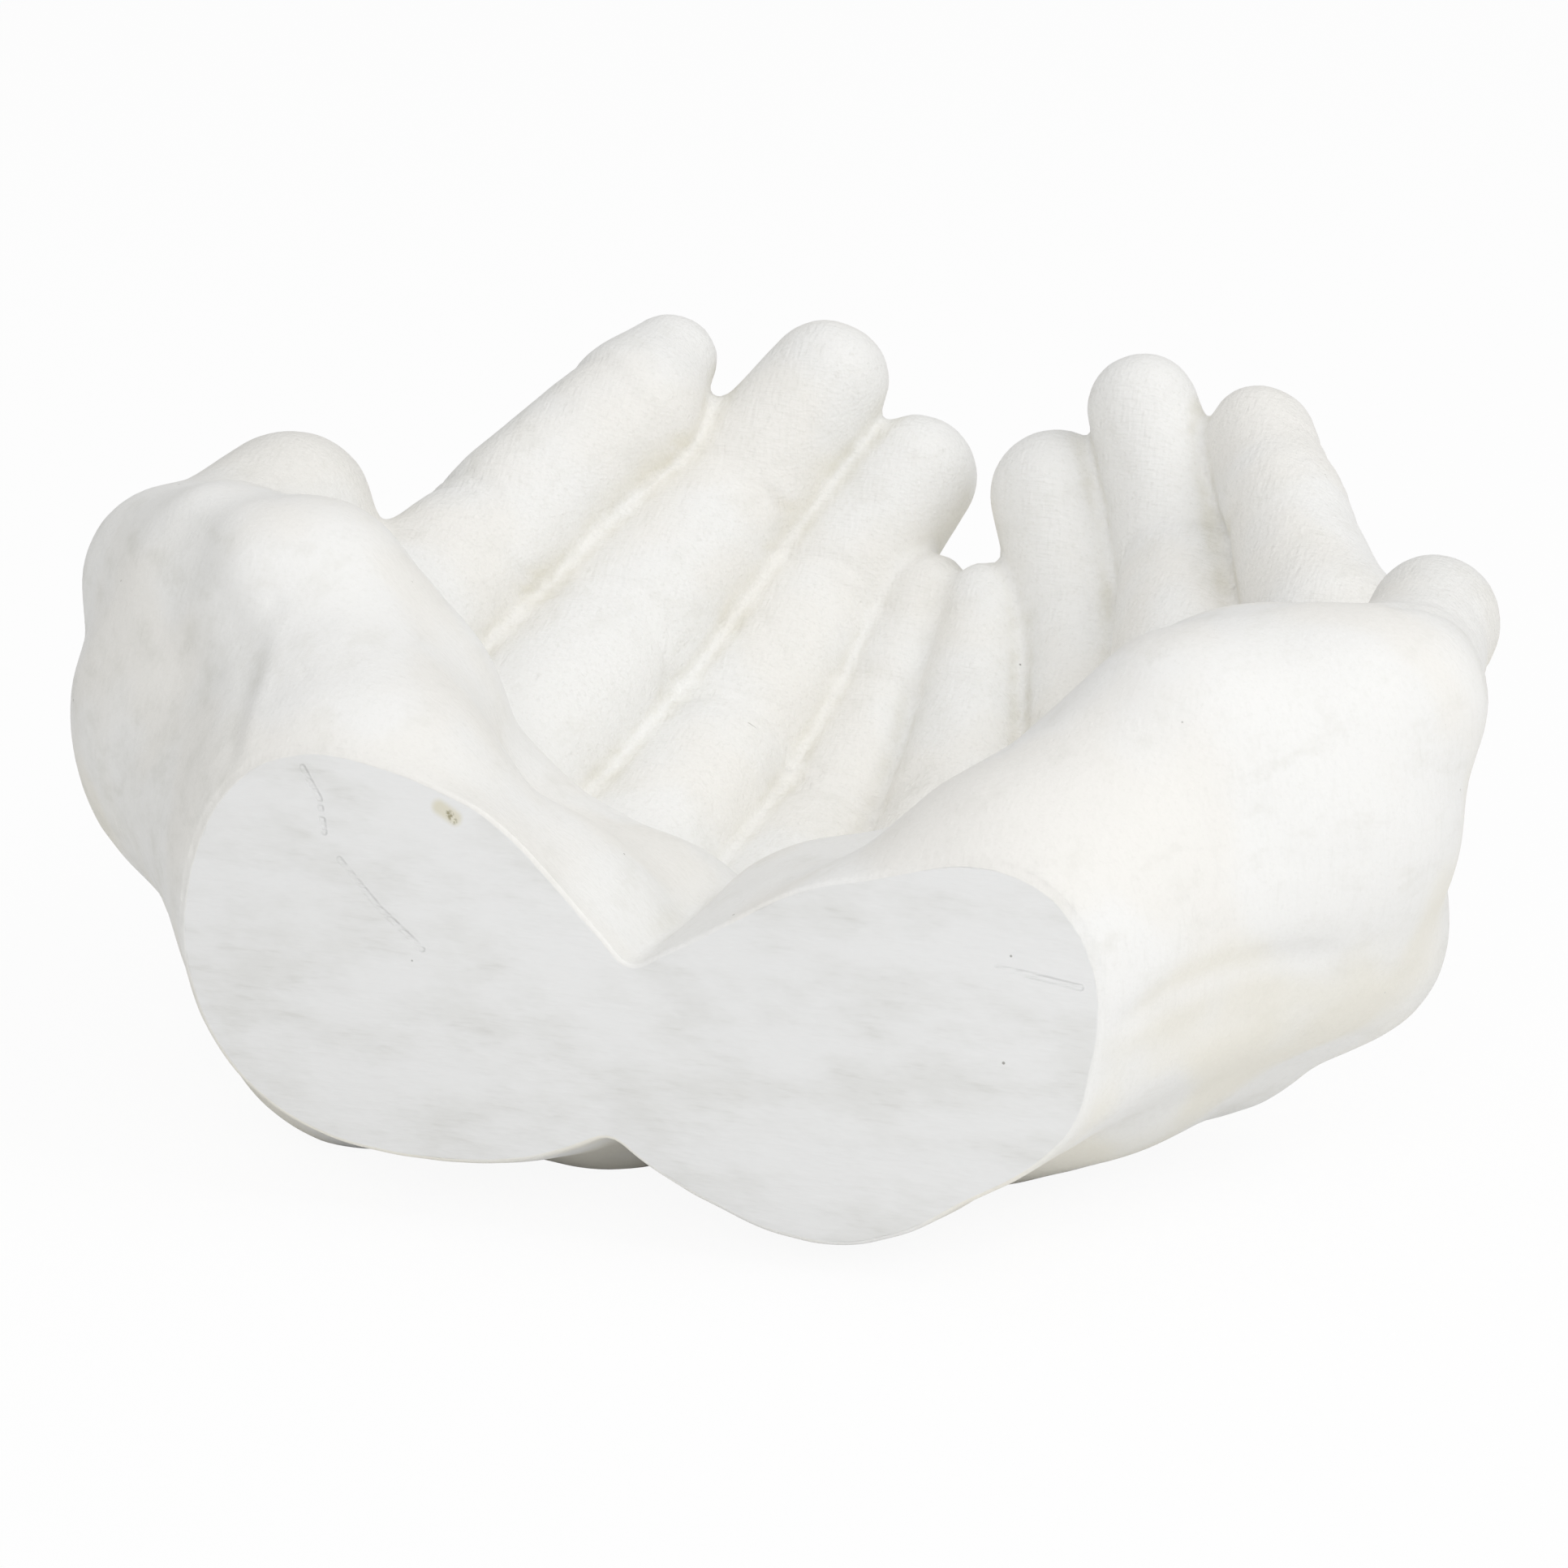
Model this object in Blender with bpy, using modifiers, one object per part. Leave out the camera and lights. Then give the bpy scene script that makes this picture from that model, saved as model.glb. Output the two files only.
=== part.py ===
"""Shallow bowl in the form of two cupped hands, one solid casting.

The hands lie palm up with their little fingers together. Both wrists are cut off in the plane y = 0,
the fingers point to +Y, and the casting rests on the plane z = 0. Each hand is a set of bones with a
radius at every joint; flesh is the smooth union of round cones between the joints.
"""
import bpy
import bmesh
import numpy as np
from mathutils import Matrix, Vector

MM = 0.001

# Blends between neighbouring volumes, in millimetres
PALM_BLEND = 9.0
THUMB_BLEND = 7.0
WEB_BLEND = 5.0
FINGER_BLEND = 2.0
JOINT_BLEND = 4.0
PAD_BLEND = 3.5
HANDS_BLEND = 3.0

# Fingers are a little flatter than wide; pads swell on the palm side
FINGER_FLATNESS = 0.93
PAD_START = (0.30, 0.25, 0.25)
PAD_END = (0.80, 0.75, 1.00)
PAD_LIFT = (0.25, 0.22, 0.18)
PAD_SIZE = (0.84, 0.86, 0.92)

# Fineness of the surface and the number of triangles kept
SURFACE_STEP = 2.0
TRIANGLES = 11800

# How far the lowest skin is flattened where the casting stands
REST_LEVEL = 2.2

# Search values of the settling surface, in millimetres
FAR = 60.0
REACH = 25.0
PROBE = 0.2
LONGEST_STEP = 2.0

FINGERS = ("index", "middle", "ring", "little")

# Right hand: x from the line between the hands, y from the wrist cut, z and radius, in millimetres.
# Joint 0 is the knuckle (for the thumb the joint at the wrist) and joint 3 the middle of the tip.
JOINTS = {
    ("index", 0): (74.5, 65.0, 35.0, 12.0),
    ("index", 1): (64.5, 101.5, 63.5, 11.0),
    ("index", 2): (51.5, 122.5, 76.0, 8.0),
    ("index", 3): (43.5, 136.5, 82.5, 7.5),
    ("middle", 0): (58.0, 63.0, 26.0, 15.5),
    ("middle", 1): (44.0, 105.5, 52.0, 12.0),
    ("middle", 2): (34.5, 131.5, 65.5, 9.5),
    ("middle", 3): (25.0, 139.0, 84.5, 7.5),
    ("ring", 0): (36.0, 65.0, 19.5, 14.0),
    ("ring", 1): (28.0, 108.5, 37.5, 9.0),
    ("ring", 2): (20.0, 132.0, 53.0, 10.0),
    ("ring", 3): (12.5, 138.0, 71.0, 9.0),
    ("little", 0): (14.0, 67.5, 15.0, 14.5),
    ("little", 1): (10.5, 102.5, 31.0, 10.5),
    ("little", 2): (7.0, 117.5, 45.5, 6.5),
    ("little", 3): (5.0, 128.0, 57.5, 4.5),
    ("thumb", 0): (50.0, 16.0, 48.5, 20.0),
    ("thumb", 1): (63.5, 38.5, 66.5, 10.0),
    ("thumb", 2): (85.5, 60.0, 69.5, 8.5),
    ("thumb", 3): (84.0, 82.5, 74.0, 8.5),
    "wrist, thumb side": (20.0, -20.0, 32.0, 13.0),
    "wrist, underside": (29.5, -20.0, 29.5, 21.0),
    "wrist, inner side": (3.0, -20.0, 28.5, 12.5),
    "wrist, back": (36.5, -20.0, 30.0, 12.0),
    "ball of the thumb": (69.0, 53.0, 55.0, 21.5),
    "thumb pad": (28.0, 43.0, 25.0, 18.5),
    "heel of the hand": (25.0, 14.5, 28.0, 22.0),
    "hollow of the palm": (36.5, 47.0, 20.0, 14.0),
    "outer palm": (18.0, 34.5, 26.5, 19.5),
    "back of the palm": (46.5, 41.5, 30.5, 19.0),
    "thumb web": (64.0, 62.0, 42.0, 11.0),
    "muscle by the index": (75.0, 51.5, 38.0, 9.0),
    "front of the thumb": (79.5, 51.5, 69.0, 9.5),
    "edge of the thumb ball": (53.5, 40.5, 57.0, 10.0),
}

# Where the left hand differs from the mirrored right hand
LEFT_OWN = {
    ("index", 0): (0.0, -1.0, 10.5, 1.5),
    ("index", 1): (-3.5, 2.0, 3.0, -0.5),
    ("index", 2): (-3.5, 1.5, 5.0, 1.5),
    ("index", 3): (2.5, -1.5, 3.5, -1.0),
    ("middle", 0): (-2.0, -1.5, 3.5, 0.0),
    ("middle", 1): (-0.5, 0.5, 0.5, 0.0),
    ("middle", 2): (0.0, 0.0, 3.0, 1.0),
    ("middle", 3): (-1.0, 2.0, -0.5, 1.0),
    ("ring", 0): (-3.5, -0.5, 0.0, 0.0),
    ("ring", 1): (-2.0, -1.0, 2.0, 1.0),
    ("ring", 2): (0.0, 0.0, 2.0, 0.0),
    ("ring", 3): (-1.5, 5.0, -0.5, -0.5),
    ("little", 0): (-1.5, 1.5, -2.0, -1.0),
    ("little", 1): (-1.0, 2.5, -3.5, -1.0),
    ("little", 2): (0.0, 4.0, -3.0, 0.5),
    ("little", 3): (-0.5, 3.5, -1.5, 1.0),
    ("thumb", 0): (-4.0, -0.5, 3.5, 1.0),
    ("thumb", 1): (-0.5, 3.0, 5.0, 0.5),
    ("thumb", 2): (7.0, 1.5, 0.0, 1.0),
    ("thumb", 3): (1.0, 1.5, -1.0, 3.5),
    "wrist, thumb side": (-0.5, 0.0, 11.0, -0.5),
    "wrist, underside": (-1.5, 0.0, 4.0, 0.0),
    "wrist, inner side": (5.0, 0.0, 6.0, -1.0),
    "wrist, back": (-2.0, 0.0, 1.0, -0.5),
    "ball of the thumb": (5.5, 3.5, -3.5, 2.0),
    "thumb pad": (2.0, 0.5, -2.5, -0.5),
    "heel of the hand": (1.0, 1.5, 4.5, -0.5),
    "hollow of the palm": (0.5, 0.5, 0.5, 0.0),
    "outer palm": (0.0, 5.5, -4.5, 0.5),
    "back of the palm": (3.5, -4.0, -8.0, 1.0),
    "muscle by the index": (-2.0, 0.0, -5.5, -0.5),
    "front of the thumb": (0.0, -1.5, 4.0, 0.5),
    "edge of the thumb ball": (-3.0, 1.5, 3.5, 0.5),
}

# Round cones that make up the palm and the wrist
PALM_BONES = (
    ("wrist, thumb side", "ball of the thumb"),
    ("wrist, underside", "heel of the hand"),
    ("wrist, inner side", "outer palm"),
    ("wrist, back", "back of the palm"),
    ("ball of the thumb", ("thumb", 1)),
    ("ball of the thumb", ("index", 0)),
    ("back of the palm", ("index", 0)),
    ("back of the palm", ("middle", 0)),
    ("heel of the hand", "hollow of the palm"),
    ("hollow of the palm", ("middle", 0)),
    ("hollow of the palm", ("ring", 0)),
    ("outer palm", ("little", 0)),
    ("outer palm", ("ring", 0)),
    ("ball of the thumb", "thumb pad"),
    ("thumb pad", ("thumb", 1)),
    (("thumb", 1), "thumb web"),
    ("thumb web", ("index", 0)),
    ("back of the palm", "muscle by the index"),
    ("muscle by the index", ("index", 0)),
    ("wrist, thumb side", "thumb pad"),
    ("wrist, back", "ball of the thumb"),
    ("wrist, back", "muscle by the index"),
    (("thumb", 1), "front of the thumb"),
    ("front of the thumb", ("thumb", 2)),
    ("wrist, thumb side", "edge of the thumb ball"),
    ("edge of the thumb ball", ("thumb", 1)),
)


def soft_min(a, b, blend):
    """Smaller of two distances, rounded over where they are nearly equal."""
    near = np.maximum(blend - np.abs(a - b), 0.0) / blend
    return np.minimum(a, b) - near * near * blend * 0.25


def round_cone(p, a, b, ra, rb, flat=None):
    """Distance to the hull of two spheres, squeezed along `flat` where it is given."""
    axis = b - a
    length2 = axis @ axis
    drop = ra - rb
    lean = max(length2 - drop * drop, 1e-6)
    to_p = p - a
    along = to_p @ axis
    if flat is not None:
        flat = flat - axis * (flat @ axis) / length2
        flat = flat / np.linalg.norm(flat)
        to_p = to_p + np.outer((to_p @ flat) * (1.0 / FINGER_FLATNESS - 1.0), flat)
    off = to_p - np.outer(along / length2, axis)
    off2 = np.einsum("ij,ij->i", off, off)
    before = along * along / length2
    beyond = (along - length2) ** 2 / length2
    turn = np.sign(drop) * drop * drop * off2
    side = np.sqrt(off2 * lean / length2) + along * drop / length2 - ra
    far_end = np.sqrt(off2 + beyond) - rb
    near_end = np.sqrt(off2 + before) - ra
    past = np.sign(along - length2) * lean * beyond > turn
    short = np.sign(along) * lean * before < turn
    return np.where(past, far_end, np.where(short, near_end, side))


def unit(v):
    return v / np.linalg.norm(v)


def palm_side(joints):
    """Direction in which a finger is bent, square to the line from knuckle to tip."""
    chord = unit(joints[3][0] - joints[0][0])
    bend = (joints[0][0] + joints[3][0]) / 2 - (joints[1][0] + joints[2][0]) / 2
    return unit(bend - chord * (bend @ chord))


def finger_field(p, joints, first_pad):
    bend = palm_side(joints)
    field = None
    for k in range(3):
        a, ra = joints[k]
        b, rb = joints[k + 1]
        bone = round_cone(p, a, b, ra, rb, bend)
        field = bone if field is None else soft_min(field, bone, JOINT_BLEND)
        if k < first_pad:
            continue
        line = unit(b - a)
        lift = unit(bend - line * (bend @ line))
        r0 = ra + (rb - ra) * PAD_START[k]
        r1 = ra + (rb - ra) * PAD_END[k]
        pa = a + (b - a) * PAD_START[k] + lift * PAD_LIFT[k] * r0
        pb = a + (b - a) * PAD_END[k] + lift * PAD_LIFT[k] * r1
        field = soft_min(field, round_cone(p, pa, pb, r0 * PAD_SIZE[k], r1 * PAD_SIZE[k]), PAD_BLEND)
    return field


def hand_field(p, hand):
    fingers = None
    for name in FINGERS:
        one = finger_field(p, [hand[name, k] for k in range(4)], 0)
        fingers = one if fingers is None else soft_min(fingers, one, FINGER_BLEND)
    thumb = finger_field(p, [hand["thumb", k] for k in range(4)], 1)
    palm = None
    for start, end in PALM_BONES:
        (a, ra), (b, rb) = hand[start], hand[end]
        one = round_cone(p, a, b, ra, rb)
        palm = one if palm is None else soft_min(palm, one, PALM_BLEND)
    palm = soft_min(palm, thumb, THUMB_BLEND)
    return soft_min(palm, fingers, WEB_BLEND)


def casting_field(p, hands):
    """Distance to the joined hands; each hand is only worked out where it can be the nearer."""
    fields = []
    for side, hand in hands:
        own = np.full(len(p), FAR)
        close = p[:, 0] * side > -REACH
        own[close] = hand_field(p[close] * (side, 1.0, 1.0), hand)
        fields.append(own)
    return soft_min(fields[0], fields[1], HANDS_BLEND)


def read_hand(own):
    """Joint positions and radii of one hand, with its own shifts added."""
    hand = {}
    for key, (x, y, z, r) in JOINTS.items():
        dx, dy, dz, dr = own.get(key, (0, 0, 0, 0))
        hand[key] = (np.array((x + dx, y + dy, z + dz), float), float(r + dr))
    return hand


def settle(points, hands, rounds):
    """Moves points onto the surface of the casting along the slope of its field."""
    corners = np.array(((1, -1, -1), (-1, -1, 1), (-1, 1, -1), (1, 1, 1))) * PROBE
    for _ in range(rounds):
        samples = [casting_field(points + c, hands) for c in corners]
        slope = sum(np.outer(s, c) for s, c in zip(samples, corners)) / (4 * PROBE * PROBE)
        steep = np.maximum(np.einsum("ij,ij->i", slope, slope), 0.2)
        step = np.clip(sum(samples) / 4, -LONGEST_STEP, LONGEST_STEP) / steep
        points = points - slope * step[:, None]
    return points


def even_out(points, edges, amount):
    """Draws every point towards the middle of its neighbours."""
    total = np.zeros_like(points)
    count = np.zeros(len(points))
    for a, b in ((0, 1), (1, 0)):
        np.add.at(total, edges[:, a], points[edges[:, b]])
        np.add.at(count, edges[:, a], 1.0)
    return points + (total / count[:, None] - points) * amount


def new_collection(name):
    collection = bpy.data.collections.new(name)
    bpy.context.scene.collection.children.link(collection)
    return collection


def rough_limbs(hands):
    """Overlapping balls and cones along all the bones, as one mesh in millimetres."""
    limbs = bmesh.new()
    mesh = bpy.data.meshes.new("limbs")
    for side, hand in hands:
        chains = [((name, k), (name, k + 1)) for name in FINGERS + ("thumb",) for k in range(3)]
        for start, end in chains + list(PALM_BONES):
            (a, ra), (b, rb) = hand[start], hand[end]
            a = Vector(a * (side, 1.0, 1.0))
            b = Vector(b * (side, 1.0, 1.0))
            turn = (b - a).to_track_quat("Z", "Y").to_matrix().to_4x4()
            limb = bmesh.new()
            bmesh.ops.create_cone(
                limb, cap_ends=True, segments=20, radius1=ra, radius2=rb,
                depth=(b - a).length, matrix=Matrix.Translation((a + b) / 2) @ turn)
            for centre, radius in ((a, ra), (b, rb)):
                bmesh.ops.create_uvsphere(
                    limb, u_segments=20, v_segments=12, radius=radius, matrix=Matrix.Translation(centre))
            limb.to_mesh(mesh)
            limb.free()
            limbs.from_mesh(mesh)
    limbs.to_mesh(mesh)
    limbs.free()
    return mesh


def evaluated(mesh, kind, **values):
    """The mesh after one modifier of the given kind."""
    tool = bpy.data.objects.new("tool", mesh)
    bpy.context.scene.collection.objects.link(tool)
    modifier = tool.modifiers.new("step", kind)
    for name, value in values.items():
        setattr(modifier, name, value)
    result = bpy.data.meshes.new_from_object(tool.evaluated_get(bpy.context.evaluated_depsgraph_get()))
    bpy.data.objects.remove(tool)
    bpy.data.meshes.remove(mesh)
    return result


def keep_largest(mesh):
    """Drops loose shells, such as a hollow closed in between the bones."""
    bm = bmesh.new()
    bm.from_mesh(mesh)
    bm.verts.ensure_lookup_table()
    seen = set()
    shells = []
    for first in bm.verts:
        if first.index in seen:
            continue
        seen.add(first.index)
        shell = [first]
        for v in shell:
            for e in v.link_edges:
                other = e.other_vert(v)
                if other.index not in seen:
                    seen.add(other.index)
                    shell.append(other)
        shells.append(shell)
    shells.sort(key=len)
    loose = [v for shell in shells[:-1] for v in shell]
    bmesh.ops.delete(bm, geom=loose, context="VERTS")
    bm.to_mesh(mesh)
    bm.free()


def cut_flat(bm, point, outward):
    """Cuts away what lies beyond a plane and closes the cut with a flat face."""
    geom = bm.verts[:] + bm.edges[:] + bm.faces[:]
    cut = bmesh.ops.bisect_plane(bm, geom=geom, dist=1e-6, plane_co=point, plane_no=outward, clear_outer=True)
    edges = [e for e in cut["geom_cut"] if isinstance(e, bmesh.types.BMEdge)]
    return bmesh.ops.holes_fill(bm, edges=edges, sides=0)["faces"]


for old in list(bpy.data.objects):
    bpy.data.objects.remove(old)

hands = ((1.0, read_hand({})), (-1.0, read_hand(LEFT_OWN)))

# One skin over the overlapping limbs
mesh = evaluated(rough_limbs(hands), "REMESH", mode="VOXEL", voxel_size=SURFACE_STEP, adaptivity=0.0)
keep_largest(mesh)

# The skin settles onto the blended surface
points = np.empty(len(mesh.vertices) * 3)
mesh.vertices.foreach_get("co", points)
points = points.reshape(-1, 3)
edges = np.empty(len(mesh.edges) * 2, dtype=np.int32)
mesh.edges.foreach_get("vertices", edges)
edges = edges.reshape(-1, 2)
points = settle(points, hands, 4)
for _ in range(2):
    points = settle(even_out(points, edges, 0.5), hands, 2)
points = even_out(points, edges, 0.3)
mesh.vertices.foreach_set("co", points.ravel())
mesh.update()

# Fewer triangles where the surface is plain
plain = evaluated(mesh, "DECIMATE", ratio=TRIANGLES / (2.0 * len(mesh.polygons)), use_collapse_triangulate=True)

# Wrist cut and resting face
bm = bmesh.new()
bm.from_mesh(plain)
caps = cut_flat(bm, (0.0, 0.0, 0.0), (0.0, -1.0, 0.0))
caps += cut_flat(bm, (0.0, 0.0, REST_LEVEL), (0.0, 0.0, -1.0))
bmesh.ops.triangulate(bm, faces=[f for f in bm.faces if len(f.verts) > 3])
bmesh.ops.recalc_face_normals(bm, faces=bm.faces[:])

# Middle of the outline to the origin, millimetres to metres
low = Vector([min(v.co[k] for v in bm.verts) for k in range(3)])
high = Vector([max(v.co[k] for v in bm.verts) for k in range(3)])
middle = (low + high) / 2
bmesh.ops.translate(bm, vec=(-middle.x, -middle.y, -low.z), verts=bm.verts[:])
bmesh.ops.scale(bm, vec=(MM, MM, MM), verts=bm.verts[:])

body = bpy.data.meshes.new("cupped_hands")
bm.to_mesh(body)
bm.free()
bowl = bpy.data.objects.new("cupped_hands", body)
new_collection("hand_bowl").objects.link(bowl)

plaster = bpy.data.materials.new("white_plaster")
plaster.use_nodes = True
shader = plaster.node_tree.nodes["Principled BSDF"]
shader.inputs["Base Color"].default_value = (0.83, 0.83, 0.81, 1.0)
shader.inputs["Roughness"].default_value = 0.85
body.materials.append(plaster)
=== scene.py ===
"""Dressed model of a shallow bowl in the form of two cupped hands, one casting in matt white plaster."""
import math

import bmesh
import bpy
import numpy as np
from mathutils import Matrix, Vector, noise as soft_noise


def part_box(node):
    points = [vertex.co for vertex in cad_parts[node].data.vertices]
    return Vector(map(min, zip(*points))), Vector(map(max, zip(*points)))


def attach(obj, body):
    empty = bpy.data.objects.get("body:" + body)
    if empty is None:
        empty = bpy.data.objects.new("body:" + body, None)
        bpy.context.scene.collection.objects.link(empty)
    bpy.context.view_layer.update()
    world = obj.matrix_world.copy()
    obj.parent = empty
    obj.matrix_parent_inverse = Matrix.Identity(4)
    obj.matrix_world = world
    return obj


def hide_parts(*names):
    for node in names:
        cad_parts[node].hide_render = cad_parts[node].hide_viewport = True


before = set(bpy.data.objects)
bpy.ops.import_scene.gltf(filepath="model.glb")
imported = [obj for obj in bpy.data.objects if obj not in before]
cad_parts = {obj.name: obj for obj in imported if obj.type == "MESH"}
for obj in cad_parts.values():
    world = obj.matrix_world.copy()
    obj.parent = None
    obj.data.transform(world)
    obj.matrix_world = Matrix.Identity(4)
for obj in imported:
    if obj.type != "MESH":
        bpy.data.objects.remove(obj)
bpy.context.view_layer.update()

# The casting is a bowl in the form of two cupped hands, cast in one piece in plaster. Flesh is modelled
# as round cones between the joints, blended as skin covers them, and a fine skin then settles onto
# that blend. Lengths are in millimetres until the mesh is finished.
MM = 0.001

# Blends between neighbouring volumes
PALM_BLEND = 9.0
THUMB_BLEND = 7.0
WEB_BLEND = 5.0
FINGER_BLEND = 2.0
JOINT_BLEND = 4.0
PAD_BLEND = 3.5
HANDS_BLEND = 3.0

# Fingers are a little flatter than wide; pads swell on the palm side
FINGER_FLATNESS = 0.93
PAD_START = (0.30, 0.25, 0.25)
PAD_END = (0.80, 0.75, 1.00)
PAD_LIFT = (0.25, 0.22, 0.18)
PAD_SIZE = (0.84, 0.86, 0.92)

# Fineness of the skin, and the search values of the settling surface
SKIN_STEP = 2.25
FAR = 60.0
REACH = 25.0
PROBE = 0.2
LONGEST_STEP = 2.0
LEAST_SLOPE = 0.2
BLEND_ROOM = 14.0
EVENING = 0.5

FINGERS = ("index", "middle", "ring", "little")

# Right hand: x from the line between the hands, y from the wrist cut, z and radius, in millimetres.
# Joint 0 is the knuckle (for the thumb the joint at the wrist) and joint 3 the middle of the tip.
# The values were fitted to the photograph's outline, folds and shading by least squares, and rounded
# to half a millimetre.
JOINTS = {
    ("index", 0): (74.5, 65.0, 35.0, 12.0),
    ("index", 1): (64.5, 101.5, 63.5, 11.0),
    ("index", 2): (51.5, 122.5, 76.0, 8.0),
    ("index", 3): (43.5, 136.5, 82.5, 7.5),
    ("middle", 0): (58.0, 63.0, 26.0, 15.5),
    ("middle", 1): (44.0, 105.5, 52.0, 12.0),
    ("middle", 2): (34.5, 131.5, 65.5, 9.5),
    ("middle", 3): (25.0, 139.0, 84.5, 7.5),
    ("ring", 0): (36.0, 65.0, 19.5, 14.0),
    ("ring", 1): (28.0, 108.5, 37.5, 9.0),
    ("ring", 2): (20.0, 132.0, 53.0, 10.0),
    ("ring", 3): (12.5, 138.0, 71.0, 9.0),
    ("little", 0): (14.0, 67.5, 15.0, 14.5),
    ("little", 1): (10.5, 102.5, 31.0, 10.5),
    ("little", 2): (7.0, 117.5, 45.5, 6.5),
    ("little", 3): (5.0, 128.0, 57.5, 4.5),
    ("thumb", 0): (50.0, 16.0, 48.5, 20.0),
    ("thumb", 1): (63.5, 38.5, 66.5, 10.0),
    ("thumb", 2): (85.5, 60.0, 69.5, 8.5),
    ("thumb", 3): (84.0, 82.5, 74.0, 8.5),
    "wrist, thumb side": (20.0, -20.0, 32.0, 13.0),
    "wrist, underside": (29.5, -20.0, 29.5, 21.0),
    "wrist, inner side": (3.0, -20.0, 28.5, 12.5),
    "wrist, back": (36.5, -20.0, 30.0, 12.0),
    "ball of the thumb": (69.0, 53.0, 55.0, 21.5),
    "thumb pad": (28.0, 43.0, 25.0, 18.5),
    "heel of the hand": (25.0, 14.5, 28.0, 22.0),
    "hollow of the palm": (36.5, 47.0, 20.0, 14.0),
    "outer palm": (18.0, 34.5, 26.5, 19.5),
    "back of the palm": (46.5, 41.5, 30.5, 19.0),
    "thumb web": (64.0, 62.0, 42.0, 11.0),
    "muscle by the index": (75.0, 51.5, 38.0, 9.0),
    "front of the thumb": (79.5, 51.5, 69.0, 9.5),
    "edge of the thumb ball": (53.5, 40.5, 57.0, 10.0),
}

# Where the left hand differs from the mirrored right hand, found in the same way
LEFT_OWN = {
    ("index", 0): (0.0, -1.0, 10.5, 1.5),
    ("index", 1): (-3.5, 2.0, 3.0, -0.5),
    ("index", 2): (-3.5, 1.5, 5.0, 1.5),
    ("index", 3): (2.5, -1.5, 3.5, -1.0),
    ("middle", 0): (-2.0, -1.5, 3.5, 0.0),
    ("middle", 1): (-0.5, 0.5, 0.5, 0.0),
    ("middle", 2): (0.0, 0.0, 3.0, 1.0),
    ("middle", 3): (-1.0, 2.0, -0.5, 1.0),
    ("ring", 0): (-3.5, -0.5, 0.0, 0.0),
    ("ring", 1): (-2.0, -1.0, 2.0, 1.0),
    ("ring", 2): (0.0, 0.0, 2.0, 0.0),
    ("ring", 3): (-1.5, 5.0, -0.5, -0.5),
    ("little", 0): (-1.5, 1.5, -2.0, -1.0),
    ("little", 1): (-1.0, 2.5, -3.5, -1.0),
    ("little", 2): (0.0, 4.0, -3.0, 0.5),
    ("little", 3): (-0.5, 3.5, -1.5, 1.0),
    ("thumb", 0): (-4.0, -0.5, 3.5, 1.0),
    ("thumb", 1): (-0.5, 3.0, 5.0, 0.5),
    ("thumb", 2): (7.0, 1.5, 0.0, 1.0),
    ("thumb", 3): (1.0, 1.5, -1.0, 3.5),
    "wrist, thumb side": (-0.5, 0.0, 11.0, -0.5),
    "wrist, underside": (-1.5, 0.0, 4.0, 0.0),
    "wrist, inner side": (5.0, 0.0, 6.0, -1.0),
    "wrist, back": (-2.0, 0.0, 1.0, -0.5),
    "ball of the thumb": (5.5, 3.5, -3.5, 2.0),
    "thumb pad": (2.0, 0.5, -2.5, -0.5),
    "heel of the hand": (1.0, 1.5, 4.5, -0.5),
    "hollow of the palm": (0.5, 0.5, 0.5, 0.0),
    "outer palm": (0.0, 5.5, -4.5, 0.5),
    "back of the palm": (3.5, -4.0, -8.0, 1.0),
    "muscle by the index": (-2.0, 0.0, -5.5, -0.5),
    "front of the thumb": (0.0, -1.5, 4.0, 0.5),
    "edge of the thumb ball": (-3.0, 1.5, 3.5, 0.5),
}

# Round cones that make up the palm and the wrist
PALM_BONES = (
    ("wrist, thumb side", "ball of the thumb"),
    ("wrist, underside", "heel of the hand"),
    ("wrist, inner side", "outer palm"),
    ("wrist, back", "back of the palm"),
    ("ball of the thumb", ("thumb", 1)),
    ("ball of the thumb", ("index", 0)),
    ("back of the palm", ("index", 0)),
    ("back of the palm", ("middle", 0)),
    ("heel of the hand", "hollow of the palm"),
    ("hollow of the palm", ("middle", 0)),
    ("hollow of the palm", ("ring", 0)),
    ("outer palm", ("little", 0)),
    ("outer palm", ("ring", 0)),
    ("ball of the thumb", "thumb pad"),
    ("thumb pad", ("thumb", 1)),
    (("thumb", 1), "thumb web"),
    ("thumb web", ("index", 0)),
    ("back of the palm", "muscle by the index"),
    ("muscle by the index", ("index", 0)),
    ("wrist, thumb side", "thumb pad"),
    ("wrist, back", "ball of the thumb"),
    ("wrist, back", "muscle by the index"),
    (("thumb", 1), "front of the thumb"),
    ("front of the thumb", ("thumb", 2)),
    ("wrist, thumb side", "edge of the thumb ball"),
    ("edge of the thumb ball", ("thumb", 1)),
)


def soft_min(a, b, blend):
    """Smaller of two distances, rounded over where they are nearly equal."""
    near = np.maximum(blend - np.abs(a - b), 0.0) / blend
    return np.minimum(a, b) - near * near * blend * 0.25


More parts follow.
